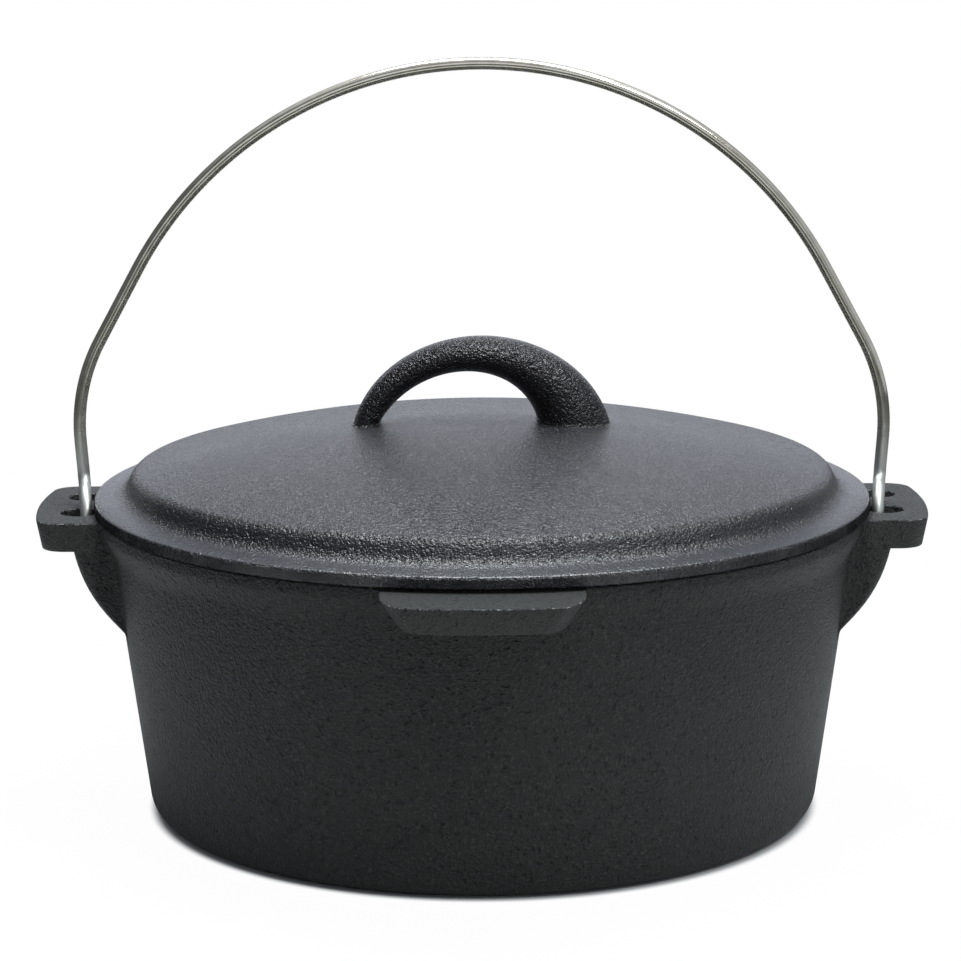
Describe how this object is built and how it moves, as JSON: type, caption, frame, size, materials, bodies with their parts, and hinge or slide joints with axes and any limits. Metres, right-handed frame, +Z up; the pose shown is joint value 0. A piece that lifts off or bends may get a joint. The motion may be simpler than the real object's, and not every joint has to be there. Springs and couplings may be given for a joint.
{
  "type": "cast iron camp pot",
  "caption": "Round cast iron cooking pot with tapered wall, bail ears and grip tabs, a lift-off domed lid with an arched handle, and a swinging wire bail.",
  "frame": {"origin": "middle of the flat base, on the surface it stands on", "axes": "+Z up the pot's axis, the two bail ears and the bail's hinge line along X, the two grip tabs along Y"},
  "size_m": [0.2864, 0.2884, 0.2424],
  "materials": {
    "pot_iron": "seasoned sand casting, fine orange-peel texture, matte",
    "lid_iron": "seasoned sand casting, fine orange-peel texture, low sheen",
    "bail_wire": "drawn and zinc plated wire"
  },
  "bodies": {
    "pot": {"pot": "pot_iron"},
    "lid": {"lid": "lid_iron"},
    "bail": {"bail": "bail_wire"}
  },
  "joints": [
    {"name": "lid_lift", "type": "slide", "parent": "pot", "child": "lid", "axis": [0, 0, 1], "range_m": [0, 0.035]},
    {"name": "bail_swing", "type": "hinge", "parent": "pot", "child": "bail", "pos_m": [0, 0, 0.0946], "axis": [1, 0, 0], "range_deg": [-69, 69]}
  ]
}
